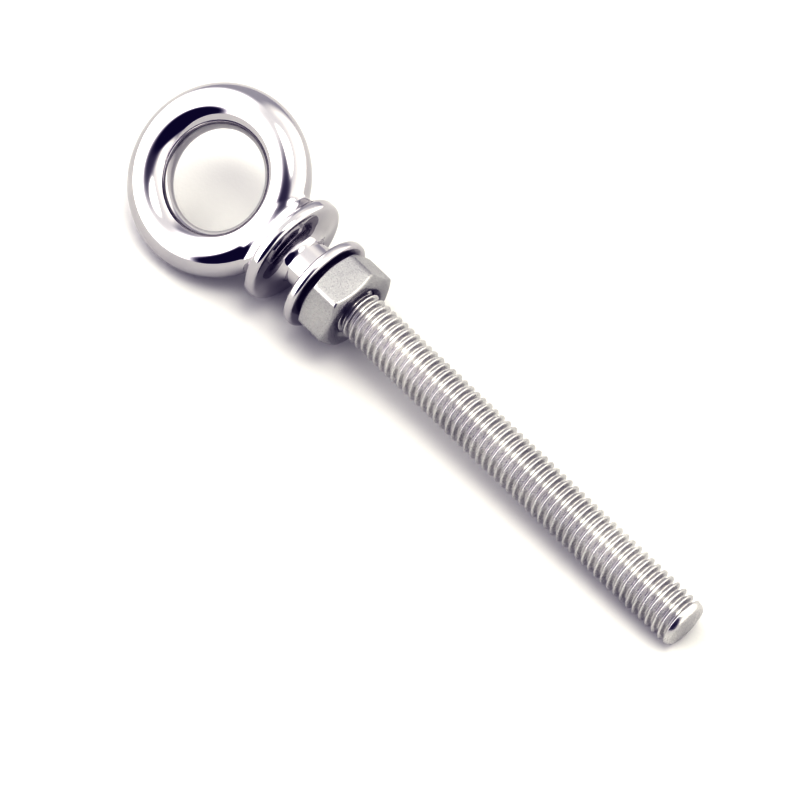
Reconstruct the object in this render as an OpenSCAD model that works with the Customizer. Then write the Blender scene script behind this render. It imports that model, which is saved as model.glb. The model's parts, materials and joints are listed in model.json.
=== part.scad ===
// Eye bolt with a long threaded shank, a washer and a hexagon nut.
// The shank runs along +X from the collar's seat, which is the plane x = 0.
// The bolt lies on its side: the eye is rolled about the shank until its rim,
// the collar's rim and the tip all reach the surface below.

/* [Shank] */
// Outer diameter of the thread
thread_d = 6; // [5.8:0.1:6]
// Distance from the collar's seat to the tip
shank_len = 63.8; // [30:0.2:120]
// Length of the chamfer at the tip
tip_chamfer = 1; // [0.4:0.1:1.4]
// Diameter of the flat end of the tip
tip_d = 4.7; // [3:0.1:5.2]
// Diameter of the smooth neck
neck_d = 6.1; // [6:0.1:6.4]
// Length of the smooth neck, from the collar to the washer
neck_len = 4.3; // [3:0.1:8]
// Radius of the fillet where the neck meets the collar
neck_fillet = 1.5; // [0.5:0.1:2.5]
// Diameter of the shank where the washer and nut sit on it
seat_d = 5.6; // [5.2:0.1:5.6]

/* [Collar] */
// Outer diameter of the collar
collar_d = 14; // [12:0.1:18]
// Thickness of the collar
collar_t = 1.6; // [1.2:0.1:3]
// Rounding of the collar's rim
collar_round = 0.6; // [0.2:0.1:0.6]

/* [Eye] */
// Diameter of the eye's opening
eye_inner_d = 12.2; // [10:0.1:16]
// Thickness of the round bar that forms the eye
eye_bar_d = 5.5; // [5:0.1:6]
// Distance from the collar's seat to the centre of the eye
eye_offset = 13.55; // [13.3:0.05:14]
// Diameter of the flared base between eye and collar
saddle_d = 11.2; // [10.8:0.1:11.6]
// Radius of the flare's hollow curve
saddle_r = 3.2; // [3:0.1:3.4]

/* [Washer] */
// Outer diameter of the washer
washer_d = 12.2; // [11:0.1:14]
// Diameter of the washer's hole
washer_bore = 6.6; // [6.4:0.1:7]
// Thickness of the washer
washer_t = 1.2; // [1:0.1:2]
// Rounding of the washer's outer edges
washer_round = 0.4; // [0.1:0.1:0.4]
// How far the loose washer hangs to one side of the shank's axis
washer_drop = 0.25; // [0:0.05:0.25]
// Room along the shank between the neck and the washer
washer_gap = 0.1; // [0.1:0.1:1]

/* [Nut] */
// Width of the nut across its flats
nut_af = 10; // [9.5:0.1:11]
// Height of the nut
nut_h = 4.6; // [4:0.1:5.2]
// Diameter of the nut's hole
nut_bore = 6.1; // [6.1:0.1:6.2]
// Depth of the countersink in each face of the nut
nut_sink = 0.4; // [0.2:0.1:0.6]
// Turn of the nut on the shank, from a corner at the side
nut_turn = 7; // [0:1:59]
// Room along the shank between the washer and the nut
nut_gap = 0.3; // [0.1:0.1:1]

/* [Hidden] */
$fn = 96;

// Corner chamfer of the nut, in degrees from its faces
nut_chamfer_angle = 30;
// Diameter of the round flat that the chamfer leaves on each face
nut_face_d = nut_af * 0.95;
nut_corner_d = nut_af / cos(30);
// Room beyond a face, for shapes that cut through it
over = 1;

bar_r = eye_bar_d / 2;
eye_r = (eye_inner_d + eye_bar_d) / 2;
washer_x = neck_len + washer_gap;
nut_x = washer_x + washer_t + nut_gap;
nut_end = nut_x + nut_h;

// The shank's lean when the collar's rim and the tip lie on a flat surface,
// and the roll that brings the eye's rim down to the same surface
lean = atan((collar_d - thread_d) / 2 / (shank_len - tip_chamfer + collar_t / 2));
eye_height = collar_d / 2 + (eye_offset - collar_t / 2) * tan(lean);
eye_roll = asin((eye_height - bar_r) / eye_r);

// A solid of revolution about +X from points [x, radius]
module turned(points) {
    rotate([0, 90, 0]) rotate_extrude()
        polygon([for (p = points) [p[1], p[0]]]);
}

// A ring of round section about +X, for rims and fillets
module round_ring(x, ring_r, section_r) {
    translate([x, 0, 0]) rotate([0, 90, 0]) rotate_extrude()
        translate([ring_r, 0]) circle(r = section_r);
}

// A straight round bar along +X
module bar(x, length, d) {
    translate([x, 0, 0]) rotate([0, 90, 0]) cylinder(d = d, h = length);
}

module eye_ring() {
    translate([-eye_offset, 0, 0]) rotate([eye_roll, 0, 0])
        rotate_extrude() translate([eye_r, 0]) circle(r = bar_r);
}

// The flared base: a short drum with a hollow curve cut round it
module saddle() {
    drum_len = saddle_r + collar_round;
    hollow_x = -collar_t - saddle_r;
    difference() {
        bar(-collar_t - drum_len, drum_len + collar_t / 2, saddle_d);
        round_ring(hollow_x, saddle_d / 2, saddle_r);
        bar(hollow_x - drum_len, drum_len, saddle_d + over);
    }
}

// A disc with a rounded rim
module collar() {
    flat_d = collar_d - 2 * collar_round;
    bar(-collar_t, collar_t, flat_d);
    bar(-collar_t + collar_round, collar_t - 2 * collar_round, collar_d);
    for (x = [-collar_t + collar_round, -collar_round])
        round_ring(x, flat_d / 2, collar_round);
}

// The neck's hollow foot on the collar's seat
module neck_foot() {
    foot_d = neck_d + 2 * neck_fillet;
    difference() {
        bar(-collar_t / 2, collar_t / 2 + neck_fillet, foot_d);
        round_ring(neck_fillet, foot_d / 2, neck_fillet);
    }
}

module shank() {
    bar(-collar_t / 2, neck_len + collar_t / 2, neck_d);
    bar(0, nut_end, seat_d);
    bar(nut_end, shank_len - tip_chamfer - nut_end, thread_d);
    translate([shank_len - tip_chamfer, 0, 0]) rotate([0, 90, 0])
        cylinder(d1 = thread_d, d2 = tip_d, h = tip_chamfer);
}

module eye_bolt() color("silver") {
    eye_ring();
    saddle();
    collar();
    neck_foot();
    shank();
}

// Its hole rests on the side of the shank, in the eye's own plane
module washer() color("gainsboro")
    rotate([eye_roll, 0, 0]) translate([washer_x, -washer_drop, 0]) difference() {
        union() {
            bar(0, washer_t, washer_d - 2 * washer_round);
            bar(washer_round, washer_t - 2 * washer_round, washer_d);
            for (x = [washer_round, washer_t - washer_round])
                round_ring(x, washer_d / 2 - washer_round, washer_round);
        }
        bar(-over, washer_t + 2 * over, washer_bore);
    }

module nut() color("lightgray") translate([nut_x, 0, 0]) difference() {
    chamfer_len = (nut_corner_d - nut_face_d) / 2 * tan(nut_chamfer_angle);
    sink_d = nut_bore + 2 * nut_sink;
    intersection() {
        rotate([90 + nut_turn, 0, 0]) rotate([0, 90, 0]) cylinder(d = nut_corner_d, h = nut_h, $fn = 6);
        turned([[0, 0], [0, nut_face_d / 2], [chamfer_len, nut_corner_d / 2],
                [nut_h - chamfer_len, nut_corner_d / 2], [nut_h, nut_face_d / 2], [nut_h, 0]]);
    }
    bar(-over, nut_h + 2 * over, nut_bore);
    turned([[-over, 0], [-over, sink_d / 2 + over], [nut_sink, nut_bore / 2], [nut_sink, 0]]);
    turned([[nut_h - nut_sink, 0], [nut_h - nut_sink, nut_bore / 2],
            [nut_h + over, sink_d / 2 + over], [nut_h + over, 0]]);
}

eye_bolt();
washer();
nut();
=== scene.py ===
"""Eye bolt with a washer and a hexagon nut: the looks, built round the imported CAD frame.

Lengths named in this script are in millimetres, and MM turns them into Blender's metres.
"""

import json
import math

import bmesh
import bpy
import numpy as np
from mathutils import Matrix, Quaternion, Vector


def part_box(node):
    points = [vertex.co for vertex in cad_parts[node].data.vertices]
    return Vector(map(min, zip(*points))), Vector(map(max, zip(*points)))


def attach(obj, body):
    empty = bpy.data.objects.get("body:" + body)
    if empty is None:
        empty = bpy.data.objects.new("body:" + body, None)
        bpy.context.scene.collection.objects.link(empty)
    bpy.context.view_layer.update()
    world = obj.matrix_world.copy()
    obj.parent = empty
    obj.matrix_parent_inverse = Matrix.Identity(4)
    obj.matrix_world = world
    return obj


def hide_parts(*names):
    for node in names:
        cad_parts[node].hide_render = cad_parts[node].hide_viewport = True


MM = 0.001

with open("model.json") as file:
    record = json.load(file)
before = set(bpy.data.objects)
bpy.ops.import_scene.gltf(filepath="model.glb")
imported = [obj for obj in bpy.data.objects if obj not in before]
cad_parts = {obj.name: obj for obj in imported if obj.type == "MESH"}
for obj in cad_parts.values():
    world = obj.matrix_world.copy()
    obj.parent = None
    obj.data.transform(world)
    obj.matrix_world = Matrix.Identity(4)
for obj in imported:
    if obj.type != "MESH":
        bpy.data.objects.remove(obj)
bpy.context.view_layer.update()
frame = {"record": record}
mounts = {m["name"]: m for m in frame["record"]["mounts"]}

# ---------------------------------------------------------------- sizes
# Eye, from its mount: centre, roll about the shank, opening and bar
EYE_X = mounts["eye"]["pos_m"][0] / MM
EYE_AXIS = mounts["eye"]["axis"]
EYE_ROLL = math.atan2(-EYE_AXIS[1], EYE_AXIS[2])
BAR_R = mounts["eye"]["dims"]["length_mm"] / 2
EYE_R = mounts["eye"]["dims"]["r_mm"] + BAR_R

# Stem between the eye and the collar: a bar whose section is a superellipse
STEM_WIDTH = 11.2
STEM_POWER = 2.8
STEM_BACK_X = -5.4
STEM_END_ROUND = 1.0
STEM_CREASE = 0.3
STEM_FLARE = 2.3

# Collar and neck
COLLAR_R = 7.0
COLLAR_T = 1.6
COLLAR_ROUND = 0.6
NECK_R = 3.05
NECK_END = 4.3
NECK_END_ROUND = 0.3
NECK_FILLET = 1.5

# Thread: M6 x 1, right-handed. CREST_X is a crest's place on the +Y side.
THREAD_R = mounts["threaded_shank"]["dims"]["r_mm"]
PITCH = 1.0
THREAD_DEPTH = 0.6134 * PITCH
CREST_HALF = 0.075 * PITCH
ROOT_HALF = 0.09 * PITCH
FLANK_SOFT = 0.06
CREST_X = 0.694
THREAD_START = 4.0
RUN_OUT = 1.2

# Tip: a chamfer whose section is a quarter ellipse, cut off where it gets steep, and a low dome
TIP_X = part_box("eye_bolt")[1].x / MM
TIP_CHAMFER = 1.0
TIP_R = 2.35
TIP_CUT = 0.2
TIP_FADE = 0.3
TIP_DOME = 0.12

# Washer, from the box of its CAD node
WASHER_LOW, WASHER_HIGH = (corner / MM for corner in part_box("washer"))
WASHER_BORE_R = 3.3
WASHER_ROUND = 0.4
WASHER_BEVEL = 0.12

# Nut, from the box of its CAD node. NUT_CORNER is a corner's angle from +Y.
NUT_X0, NUT_X1 = (corner.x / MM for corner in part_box("nut"))
NUT_FLATS_R = 5.0
NUT_FACE_R = 4.75
NUT_CHAMFER = math.radians(30)
NUT_CORNER = math.radians(7)
NUT_EDGE = 0.12
NUT_SINK_R = 3.55
NUT_THREAD_SHARE = 0.88
THREAD_CLEARANCE = 0.05
CORNER_ROUND = 0.8
HALF_SIDE = math.radians(30)

# Mesh rows and columns
ROWS_PER_PITCH = 16
SPARE_TURNS = 2
COLUMNS = 120
EDGE_ROWS = 5
DOME_ROWS = 8
CORNER_COLUMNS = 11
FLAT_COLUMNS = np.array([0.02, 0.15, 0.33, 0.5, 0.67, 0.85, 0.98])
FACE_ROW_GAP = 0.1
THIN_FACE = 1e-9

# Light tent: its own grey, then round panels, each with its azimuth from +X, its elevation, the angles
# from its middle where it starts and ends to fade, and its colour
TENT_GREY = (1.0, 0.985, 1.01)
LIGHT_TENT = [
    (-142, 26, 40, 62, (3.1, 3.0, 3.07)),
    (40, 40, 50, 70, (2.0, 1.95, 1.9)),
    (0, 90, 20, 45, (1.6, 1.57, 1.57)),
    (10, 86, 4, 20, (6.2, 6.05, 5.9)),
    (-66, 52, 10, 36, (0.28, 0.27, 0.32)),
    (-64, 24, 28, 37, (0.05, 0.05, 0.12)),
]

# Camera, with its turn about its own axis, and the print's contrast and lift of the darks
CAMERA_PLACE = Vector((145.49, -155.91, 330.58))
CAMERA_AIM = Vector((21.48, -3.5, -1.67))
CAMERA_ROLL = math.radians(8.92)
CAMERA_LENS = 152.44
SENSOR_WIDTH = 36.0
VIEW_GAMMA = 0.45
DARK_LIFT = (0.02, 0.0, 0.10)

# Noise values below and above which a colour or a roughness no longer changes
NOISE_LOW = 0.3
NOISE_HIGH = 0.7


# ---------------------------------------------------------------- meshes
def mesh_object(name, points_mm, faces, normals=None):
    """A smooth-shaded object from points in millimetres. Without normals of its own it is welded."""
    mesh = bpy.data.meshes.new(name)
    mesh.from_pydata((np.asarray(points_mm) * MM).tolist(), [], faces)
    if normals is None:
        weld(mesh)
    mesh.polygons.foreach_set("use_smooth", [True] * len(mesh.polygons))
    if normals is not None:
        mesh.normals_split_custom_set_from_vertices(normals.tolist())
    mesh.update()
    piece = bpy.data.objects.new(name, mesh)
    bpy.context.scene.collection.objects.link(piece)
    return piece


def weld(mesh, distance=1e-3 * MM):
    """Joins vertices that coincide, and turns every face outwards."""
    bm = bmesh.new()
    bm.from_mesh(mesh)
    bmesh.ops.remove_doubles(bm, verts=bm.verts, dist=distance)
    bmesh.ops.recalc_face_normals(bm, faces=bm.faces)
    bm.to_mesh(mesh)
    bm.free()


class Turning:
    """A skin of rows round the X axis, one vertex for each angle in a row."""

    def __init__(self, angles):
        self.angles = np.asarray(angles)
        self.points, self.faces, self.count = [], [], 0

    def row(self, x, radius):
        """Adds a row, whose x and radius may differ from column to column."""
        x, radius = np.broadcast_arrays(x, radius, self.angles)[:2]
        self.points.append(np.stack([x, radius * np.cos(self.angles), radius * np.sin(self.angles)], 1))
        self.count += 1
        return np.arange(len(self.angles)) + (self.count - 1) * len(self.angles)

    def join(self, first, second):
        """Quads between two rows."""
        for j in range(len(first)):
            k = (j + 1) % len(first)
            self.faces.append((first[j], first[k], second[k], second[j]))

    def strip(self, section, closed=False):
        """Rows through a section of (x, radius) points, joined in turn."""
        rows = [self.row(x, radius) for x, radius in section]
        for first, second in zip(rows, rows[1:] + rows[:1] if closed else rows[1:]):
            self.join(first, second)

    def helix(self, x_start, x_end, radius):
        """A threaded stretch. Its rows follow the crest, and run into plain circles at both ends."""
        turns = int((x_end - x_start) / PITCH) + 2 * SPARE_TURNS
        base = CREST_X + PITCH * (math.floor((x_start - CREST_X) / PITCH) - SPARE_TURNS)
        share = self.angles / (2 * math.pi)
        rows = []
        for i in range(turns * ROWS_PER_PITCH + 1):
            x = np.clip(base + PITCH * (i / ROWS_PER_PITCH + share), x_start, x_end)
            rows.append(self.row(x, radius(x, (x - CREST_X) / PITCH - share)))
        last = len(self.angles) - 1
        for i in range(len(rows) - 1):
            for j in range(last):
                self.faces.append((rows[i][j], rows[i][j + 1], rows[i + 1][j + 1], rows[i + 1][j]))
            if i + 1 + ROWS_PER_PITCH < len(rows):
                ahead, next_ahead = rows[i + ROWS_PER_PITCH], rows[i + 1 + ROWS_PER_PITCH]
                self.faces.append((rows[i][last], ahead[0], next_ahead[0], rows[i + 1][last]))

    def build(self, name):
        return mesh_object(name, np.concatenate(self.points), self.drop_thin_faces())

    def drop_thin_faces(self):
        """Faces without those that the helix's plain ends squeeze to nothing."""
        points = np.concatenate(self.points)
        kept = []
        for face in self.faces:
            corner = points[list(face)]
            if np.linalg.norm(np.cross(corner[2] - corner[0], corner[3] - corner[1])) > THIN_FACE:
                kept.append(tuple(int(v) for v in face))
        return kept


def smooth_step(value, low, high):
    t = np.clip((value - low) / (high - low), 0, 1)
    return t * t * (3 - 2 * t)


def arc(centre_x, centre_r, radius, start, end, steps=EDGE_ROWS):
    """Section points on an arc, with angles in degrees from +X towards +radius."""
    angles = np.radians(np.linspace(start, end, steps + 1))
    return [(centre_x + radius * math.cos(a), centre_r + radius * math.sin(a)) for a in angles]


# ---------------------------------------------------------------- forged eye, stem, collar and neck
def torus(p):
    """Distance from the eye's ring. Every such shape here is below zero inside."""
    return np.hypot(np.hypot(p[..., 0] - EYE_X, p[..., 1]) - EYE_R, p[..., 2]) - BAR_R


def disc(p, x_low, x_high, radius, edge):
    """A cylinder along X with rounded edges."""
    along = np.abs(p[..., 0] - (x_low + x_high) / 2) - (x_high - x_low) / 2 + edge
    across = np.hypot(p[..., 1], p[..., 2]) - radius + edge
    outside = np.hypot(np.maximum(along, 0), np.maximum(across, 0))
    return np.minimum(np.maximum(along, across), 0) + outside - edge


def round_union(a, b, radius):
    """The union of two shapes with a hollow fillet where they meet."""
    corner = np.hypot(np.maximum(radius - a, 0), np.maximum(radius - b, 0))
    return np.maximum(radius, np.minimum(a, b)) - corner


def stem(p):
    """A bar along X as thick as the eye, with flattened sides. It ends inside the eye's ring."""
    across = np.abs(p[..., 1]) / (STEM_WIDTH / 2)
    up = np.abs(p[..., 2]) / BAR_R
    size = np.maximum(across ** STEM_POWER + up ** STEM_POWER, 1e-9) ** (1 / STEM_POWER)
    steep_across = (across / size) ** (STEM_POWER - 1) / (STEM_WIDTH / 2)
    steep_up = (up / size) ** (STEM_POWER - 1) / BAR_R
    side = (size - 1) / np.maximum(np.hypot(steep_across, steep_up), 1 / STEM_WIDTH)
    length = np.maximum(STEM_BACK_X - p[..., 0], p[..., 0] + COLLAR_T / 2)
    return -round_union(-side, -length, STEM_END_ROUND)


def forging(p):
    """Distance from the forged skin, in the eye's own frame."""
    collar = disc(p, -COLLAR_T, 0, COLLAR_R, COLLAR_ROUND)
    neck = disc(p, -COLLAR_T / 2, NECK_END, NECK_R, NECK_END_ROUND)
    eye = round_union(torus(p), stem(p), STEM_CREASE)
    return round_union(round_union(eye, collar, STEM_FLARE), neck, NECK_FILLET)


def slope(field, p, step=1e-3):
    shifts = np.eye(3) * step
    return np.stack([field(p + s) - field(p - s) for s in shifts], -1) / (2 * step)


def settle(field, p, rounds=4):
    """Moves points onto the field's zero surface."""
    for _ in range(rounds):
        g = slope(field, p)
        p = p - (field(p) / np.maximum((g * g).sum(-1), 1e-6))[:, None] * g
    return p


def surface_net(field, low, high, cell):
    """Quads over a field's zero surface: one vertex for each grid cell that the surface crosses."""
    axes = [np.arange(a, b + cell, cell) for a, b in zip(low, high)]
    grid = np.stack(np.meshgrid(*axes, indexing="ij"), -1)
    inside = field(grid) < 0
    corners = np.zeros(tuple(n - 1 for n in inside.shape), int)
    for i, j, k in np.ndindex(2, 2, 2):
        corners += inside[i:inside.shape[0] - 1 + i, j:inside.shape[1] - 1 + j, k:inside.shape[2] - 1 + k]
    crossed = (corners > 0) & (corners < 8)
    number = np.full(crossed.shape, -1)
    number[crossed] = np.arange(crossed.sum())
    points = grid[:-1, :-1, :-1][crossed] + cell / 2
    quads = []
    for axis in range(3):
        quads.append(edge_quads(inside, number, axis))
    return points, np.concatenate(quads)


def edge_quads(inside, number, axis):
    """A quad round every grid edge along an axis that has one end inside and one outside."""
    first = np.moveaxis(inside, axis, 0)
    cells = np.moveaxis(number, axis, 0)
    if axis == 1:  # keeps the three axes in a right-handed order
        first, cells = first.swapaxes(1, 2), cells.swapaxes(1, 2)
    a, b, c = np.nonzero(first[:-1, 1:-1, 1:-1] != first[1:, 1:-1, 1:-1])
    quad = np.stack([cells[a, b, c], cells[a, b + 1, c], cells[a, b + 1, c + 1], cells[a, b, c + 1]], 1)
    leaving = first[:-1, 1:-1, 1:-1][a, b, c]
    return np.where(leaving[:, None], quad, quad[:, ::-1])


def relax(field, points, quads, rounds=12, pull=0.6):
    """Evens out the quads by pulling each point towards its neighbours, along the surface."""
    edges = np.concatenate([quads[:, [i, (i + 1) % 4]] for i in range(4)])
    degree = np.bincount(edges[:, 0], minlength=len(points))[:, None]
    for _ in range(rounds):
        total = np.zeros_like(points)
        np.add.at(total, edges[:, 0], points[edges[:, 1]])
        points = settle(field, points * (1 - pull) + total / degree * pull, 1)
    return settle(field, points)


def make_forging(cell=0.25, margin=1.0):
    """The eye, the stem, the collar and the neck as one smooth forging."""
    low = (EYE_X - EYE_R - BAR_R - margin, -EYE_R - BAR_R - margin, -COLLAR_R - margin)
    high = (NECK_END + margin, EYE_R + BAR_R + margin, COLLAR_R + margin)
    points, quads = surface_net(forging, low, high, cell)
    points = relax(forging, settle(forging, points), quads)
    normals = slope(forging, points)
    normals /= np.linalg.norm(normals, axis=1)[:, None]
    roll = np.array(Matrix.Rotation(EYE_ROLL, 3, "X"))
    return mesh_object("forged_eye", points @ roll.T, quads.tolist(), normals @ roll.T)


# ---------------------------------------------------------------- rolled thread
def groove(turn):
    """How deep the thread is, from 0 at the crest to 1 at the root, where turn counts pitches."""
    from_crest = np.abs((turn + 0.5) % 1 - 0.5) * PITCH
    flank = (from_crest - CREST_HALF) / (PITCH / 2 - CREST_HALF - ROOT_HALF)
    return smooth_step(np.clip(flank, 0, 1), -FLANK_SOFT, 1 + FLANK_SOFT)


def bolt_radius(x, turn):
    """Radius of the rolled thread, which fades in at the neck and fades out early in the tip's chamfer."""
    chamfer_x = TIP_X - TIP_CHAMFER
    fade_in = smooth_step(x, THREAD_START, THREAD_START + RUN_OUT)
    fade_out = smooth_step(x, chamfer_x, chamfer_x + TIP_FADE)
    thread = THREAD_R - THREAD_DEPTH * fade_in * (1 - fade_out) * groove(turn)
    chamfer = np.clip((x - chamfer_x) / TIP_CHAMFER, 0, 1)
    drop = (1 - np.sqrt(1 - (1 - TIP_CUT ** 2) * chamfer ** 2)) / (1 - TIP_CUT)
    return np.minimum(thread, THREAD_R - (THREAD_R - TIP_R) * drop)


def make_thread():
    """The threaded shank, closed by a flat disc inside the neck and by the tip's dome."""
    skin = Turning(np.linspace(0, 2 * math.pi, COLUMNS, endpoint=False))
    skin.helix(THREAD_START, TIP_X - TIP_DOME, bolt_radius)
    start = [(THREAD_START, 0), (THREAD_START, THREAD_R)]
    last_r = float(bolt_radius(TIP_X - TIP_DOME, 0.0))
    dome_r = last_r * np.linspace(1, 0, DOME_ROWS + 1)
    dome = [(TIP_X - TIP_DOME * (r / last_r) ** 2, r) for r in dome_r]
    skin.strip(start)
    skin.strip(dome)
    return skin.build("rolled_thread")


# ---------------------------------------------------------------- washer
def make_washer():
    """A punched washer, with rounded outer edges and a small bevel at both ends of its hole."""
    x0, x1 = WASHER_LOW.x, WASHER_HIGH.x
    middle = (WASHER_LOW + WASHER_HIGH) / 2
    outer_r = (WASHER_HIGH.y - WASHER_LOW.y) / 2
    flat_r = outer_r - WASHER_ROUND
    bevel_r = WASHER_BORE_R + WASHER_BEVEL
    face = [flat_r - FACE_ROW_GAP, (outer_r + WASHER_BORE_R) / 2, bevel_r]
    section = arc(x0 + WASHER_ROUND, flat_r, WASHER_ROUND, 180, 90)
    section += arc(x1 - WASHER_ROUND, flat_r, WASHER_ROUND, 90, 0)
    section += [(x1, r) for r in face]
    section += [(x1 - WASHER_BEVEL, WASHER_BORE_R), (x0 + WASHER_BEVEL, WASHER_BORE_R)]
    section += [(x0, r) for r in reversed(face)]
    skin = Turning(np.linspace(0, 2 * math.pi, COLUMNS, endpoint=False))
    skin.strip(section, closed=True)
    washer = skin.build("washer_ring")
    washer.data.transform(Matrix.Translation((0, middle.y * MM, middle.z * MM)))
    return washer


# ---------------------------------------------------------------- nut
def corner_half_angle():
    """Half the angle that a rounded corner of the hexagon takes, as seen from the shank's axis."""
    flat_half = (NUT_FLATS_R - CORNER_ROUND) * math.tan(HALF_SIDE)
    return HALF_SIDE - math.atan(flat_half / NUT_FLATS_R)


def hexagon_radius(from_corner):
    """Radius of the hexagon with rounded corners, where the angle is measured from a corner."""
    flat = NUT_FLATS_R / np.cos(HALF_SIDE - np.abs(from_corner))
    centre = (NUT_FLATS_R - CORNER_ROUND) / math.cos(HALF_SIDE)
    a = np.minimum(np.abs(from_corner), corner_half_angle())
    rounded = centre * np.cos(a) + np.sqrt(CORNER_ROUND ** 2 - (centre * np.sin(a)) ** 2)
    return np.where(np.abs(from_corner) < corner_half_angle(), rounded, flat)


def nut_angles():
    """Column angles round the nut, closest together on its corners, and the same measured from a corner."""
    half = corner_half_angle()
    on_corner = np.linspace(-half, half, CORNER_COLUMNS)
    on_flat = half + 2 * (HALF_SIDE - half) * FLAT_COLUMNS
    steps = np.concatenate([on_corner, on_flat])
    corners = NUT_CORNER + np.arange(6) * 2 * HALF_SIDE
    from_corner = np.where(steps > HALF_SIDE, steps - 2 * HALF_SIDE, steps)
    return (corners[:, None] + steps).ravel(), np.tile(from_corner, 6)


def nut_thread_radius(x, turn):
    """Radius of the nut's own thread, which the countersinks cut back at both faces."""
    inside = THREAD_R + THREAD_CLEARANCE - THREAD_DEPTH * NUT_THREAD_SHARE * groove(turn)
    from_face = np.minimum(x - NUT_X0, NUT_X1 - x)
    return np.maximum(inside, NUT_SINK_R - from_face)


def make_nut():
    """A cold-formed nut: chamfered and rounded hexagon outside, countersunk thread inside."""
    angles, from_corner = nut_angles()
    skin = Turning(angles)
    outer = hexagon_radius(from_corner)
    overhang = outer - NUT_FACE_R
    rise = overhang * math.tan(NUT_CHAMFER)
    shoulder = np.maximum(rise - NUT_EDGE * 0.5, rise * 0.6)
    half = [
        (0.0, NUT_SINK_R),
        (0.0, (NUT_SINK_R + NUT_FACE_R) / 2),
        (0.0, NUT_FACE_R - NUT_EDGE),
        (NUT_EDGE * 0.25, NUT_FACE_R + NUT_EDGE * 0.3),
        (rise * 0.5, NUT_FACE_R + overhang * 0.5),
        (shoulder, outer - np.minimum(NUT_EDGE * 0.87, overhang * 0.4)),
        (rise + NUT_EDGE * 0.2, outer - NUT_EDGE * 0.2),
        (rise + NUT_EDGE, outer),
        (rise + NUT_EDGE * 2, outer),
    ]
    skin.strip([(NUT_X0 + x, r) for x, r in half] + [(NUT_X1 - x, r) for x, r in reversed(half)])
    skin.helix(NUT_X0, NUT_X1, nut_thread_radius)
    return skin.build("hex_nut")


# ---------------------------------------------------------------- materials
def new_material(name):
    """A metal without a pattern yet, and what its nodes are built from."""
    material = bpy.data.materials.new(name)
    material.use_nodes = True
    nodes, links = material.node_tree.nodes, material.node_tree.links
    shader = nodes["Principled BSDF"]
    shader.inputs["Metallic"].default_value = 1.0
    place = nodes.new("ShaderNodeTexCoord").outputs["Object"]
    return material, nodes, links, shader, place


def noise(nodes, links, place, size_mm, detail=2.0, stretch=(1, 1, 1)):
    """Noise whose features are about size_mm across."""
    mapping = nodes.new("ShaderNodeMapping")
    mapping.inputs["Scale"].default_value = [s / (size_mm * MM) for s in stretch]
    texture = nodes.new("ShaderNodeTexNoise")
    texture.inputs["Scale"].default_value = 1.0
    texture.inputs["Detail"].default_value = detail
    links.new(place, mapping.inputs["Vector"])
    links.new(mapping.outputs["Vector"], texture.inputs["Vector"])
    return texture.outputs["Fac"]


def remap(nodes, links, value, low, high):
    """A value that runs from low to high with the noise."""
    node = nodes.new("ShaderNodeMapRange")
    node.inputs["From Min"].default_value = NOISE_LOW
    node.inputs["From Max"].default_value = NOISE_HIGH
    node.inputs["To Min"].default_value = low
    node.inputs["To Max"].default_value = high
    links.new(value, node.inputs["Value"])
    return node.outputs["Result"]


def tint(nodes, links, value, dark, light):
    """A colour that runs from dark to light with the noise."""
    ramp = nodes.new("ShaderNodeValToRGB")
    ramp.color_ramp.elements[0].position = NOISE_LOW
    ramp.color_ramp.elements[0].color = (*dark, 1)
    ramp.color_ramp.elements[1].position = NOISE_HIGH
    ramp.color_ramp.elements[1].color = (*light, 1)
    links.new(value, ramp.inputs["Fac"])
    return ramp.outputs["Color"]


def bump(nodes, links, value, height_mm, below=None):
    """A bump of the noise, on top of another bump where there is one."""
    node = nodes.new("ShaderNodeBump")
    node.inputs["Distance"].default_value = height_mm * MM
    links.new(value, node.inputs["Height"])
    if below is not None:
        links.new(below, node.inputs["Normal"])
    return node.outputs["Normal"]


def metal(name, dark, light, rough, grain_mm, wave_mm, wave_height, grain_height, stretch=(1, 1, 1)):
    """Steel with patchy colour, uneven roughness, fine grain and shallow waves."""
    material, nodes, links, shader, place = new_material(name)
    patch = noise(nodes, links, place, size_mm=6.0)
    grain = noise(nodes, links, place, grain_mm, 4.0, stretch)
    wave = noise(nodes, links, place, wave_mm)
    links.new(tint(nodes, links, patch, dark, light), shader.inputs["Base Color"])
    links.new(remap(nodes, links, grain, *rough), shader.inputs["Roughness"])
    surface = bump(nodes, links, wave, wave_height)
    links.new(bump(nodes, links, grain, grain_height, surface), shader.inputs["Normal"])
    return material


def polished_steel():
    return metal("polished_steel", dark=(0.54, 0.535, 0.535), light=(0.59, 0.585, 0.58), rough=(0.04, 0.09),
                 grain_mm=0.12, wave_mm=3.0, wave_height=0.004, grain_height=0.00012)


def thread_steel():
    return metal("thread_steel", dark=(0.575, 0.574, 0.557), light=(0.66, 0.658, 0.638), rough=(0.22, 0.34),
                 grain_mm=0.15, wave_mm=0.7, wave_height=0.008, grain_height=0.0008, stretch=(4, 1, 1))


def washer_steel():
    return metal("washer_steel", dark=(0.54, 0.535, 0.535), light=(0.60, 0.595, 0.59), rough=(0.16, 0.26),
                 grain_mm=0.1, wave_mm=1.2, wave_height=0.004, grain_height=0.0006)


def nut_steel():
    return metal("nut_steel", dark=(0.42, 0.422, 0.41), light=(0.49, 0.492, 0.475), rough=(0.22, 0.38),
                 grain_mm=0.22, wave_mm=1.0, wave_height=0.006, grain_height=0.006, stretch=(1, 2, 2))


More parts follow.
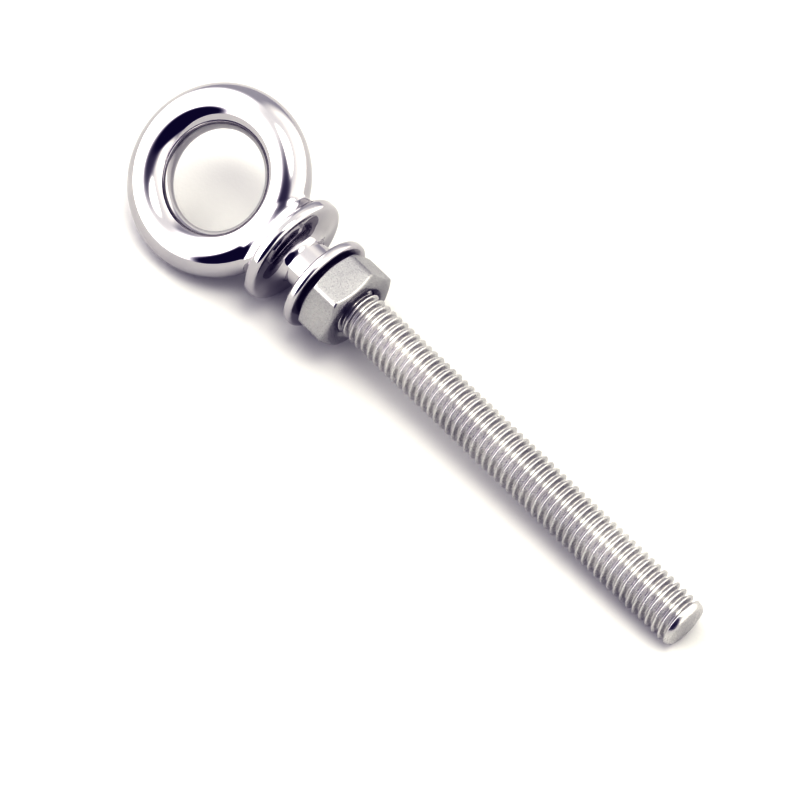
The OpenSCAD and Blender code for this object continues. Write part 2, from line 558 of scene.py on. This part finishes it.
def floor_paper():
    material, nodes, links, shader, place = new_material("floor_paper")
    shader.inputs["Metallic"].default_value = 0.0
    shader.inputs["Roughness"].default_value = 0.9
    shader.inputs["Specular IOR Level"].default_value = 0.1
    patch = noise(nodes, links, place, size_mm=60.0)
    fibre = noise(nodes, links, place, size_mm=0.4)
    colour = tint(nodes, links, patch, dark=(0.719, 0.724, 0.7), light=(0.735, 0.74, 0.716))
    links.new(colour, shader.inputs["Base Color"])
    links.new(bump(nodes, links, fibre, height_mm=0.01), shader.inputs["Normal"])
    return material


# ---------------------------------------------------------------- stage
def make_floor(half_size=3.0):
    """A pale sheet, its half size in metres, that the collar's rim and the tip rest on."""
    rest_x = TIP_X - TIP_CHAMFER
    lean = math.atan2(COLLAR_R - THREAD_R, rest_x + COLLAR_T / 2)
    bm = bmesh.new()
    bmesh.ops.create_grid(bm, x_segments=8, y_segments=8, size=half_size)
    mesh = bpy.data.meshes.new("floor")
    bm.to_mesh(mesh)
    bm.free()
    floor = bpy.data.objects.new("floor", mesh)
    floor.location = Vector((-COLLAR_T / 2, 0, -COLLAR_R)) * MM
    floor.rotation_euler = (0, -lean, 0)
    bpy.context.scene.collection.objects.link(floor)
    floor.data.materials.append(floor_paper())


def direction(azimuth, elevation):
    """A unit vector from angles in degrees."""
    a, e = math.radians(azimuth), math.radians(elevation)
    return Vector((math.cos(a) * math.cos(e), math.sin(a) * math.cos(e), math.sin(e)))


def panel(nodes, links, sky, towards, inner, outer):
    """1 inside a round panel of the sky and 0 outside it, with a soft edge between two angles."""
    dot = nodes.new("ShaderNodeVectorMath")
    dot.operation = "DOT_PRODUCT"
    dot.inputs[1].default_value = towards
    links.new(sky, dot.inputs[0])
    edge = nodes.new("ShaderNodeMapRange")
    edge.interpolation_type = "SMOOTHSTEP"
    edge.inputs["From Min"].default_value = math.cos(math.radians(outer))
    edge.inputs["From Max"].default_value = math.cos(math.radians(inner))
    links.new(dot.outputs["Value"], edge.inputs["Value"])
    return edge.outputs["Result"]


def layer(nodes, links, below, mask, colour):
    """A colour over the one below it, where the mask is 1."""
    mix = nodes.new("ShaderNodeMix")
    mix.data_type = "RGBA"
    mix.inputs["B"].default_value = (*colour, 1)
    links.new(mask, mix.inputs["Factor"])
    if isinstance(below, tuple):
        mix.inputs["A"].default_value = (*below, 1)
    else:
        links.new(below, mix.inputs["A"])
    return mix.outputs["Result"]


def make_light():
    """A light tent: bright sides and top, and one dark opening towards the camera."""
    world = bpy.data.worlds.new("light_tent")
    bpy.context.scene.world = world
    world.use_nodes = True
    nodes, links = world.node_tree.nodes, world.node_tree.links
    sky = nodes.new("ShaderNodeTexCoord").outputs["Generated"]
    colour = TENT_GREY
    for azimuth, elevation, inner, outer, shade in LIGHT_TENT:
        mask = panel(nodes, links, sky, direction(azimuth, elevation), inner, outer)
        colour = layer(nodes, links, colour, mask, shade)
    links.new(colour, nodes["Background"].inputs["Color"])


def make_camera():
    data = bpy.data.cameras.new("camera")
    data.sensor_width = SENSOR_WIDTH
    data.lens = CAMERA_LENS
    upright = (CAMERA_PLACE - CAMERA_AIM).to_track_quat("Z", "Y")
    turn = upright @ Quaternion((0, 0, 1), CAMERA_ROLL)
    camera = bpy.data.objects.new("camera", data)
    camera.matrix_world = Matrix.LocRotScale(CAMERA_PLACE * MM, turn, None)
    bpy.context.scene.collection.objects.link(camera)
    bpy.context.scene.camera = camera


def set_view():
    """A contrasty print, whose darks lean to blue."""
    view = bpy.context.scene.view_settings
    view.view_transform = "Standard"
    view.gamma = VIEW_GAMMA
    view.use_curve_mapping = True
    view.curve_mapping.black_level = [-lift for lift in DARK_LIFT]
    view.curve_mapping.update()


# ---------------------------------------------------------------- pieces
def make_pieces():
    """Each piece with its material, the body it rides on, the CAD node it replaces and its slot."""
    makers = [
        (make_forging, polished_steel, "eye_bolt", "eye_bolt", "polished_steel"),
        (make_thread, thread_steel, "eye_bolt", "eye_bolt", "polished_steel"),
        (make_washer, washer_steel, "washer", "washer", "washer_steel"),
        (make_nut, nut_steel, "nut", "nut", "nut_steel"),
    ]
    for make, material, body, node, slot in makers:
        piece = make()
        piece.data.materials.append(material())
        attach(piece, body)
        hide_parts(node)


make_camera()
make_light()
make_floor()
make_pieces()
set_view()
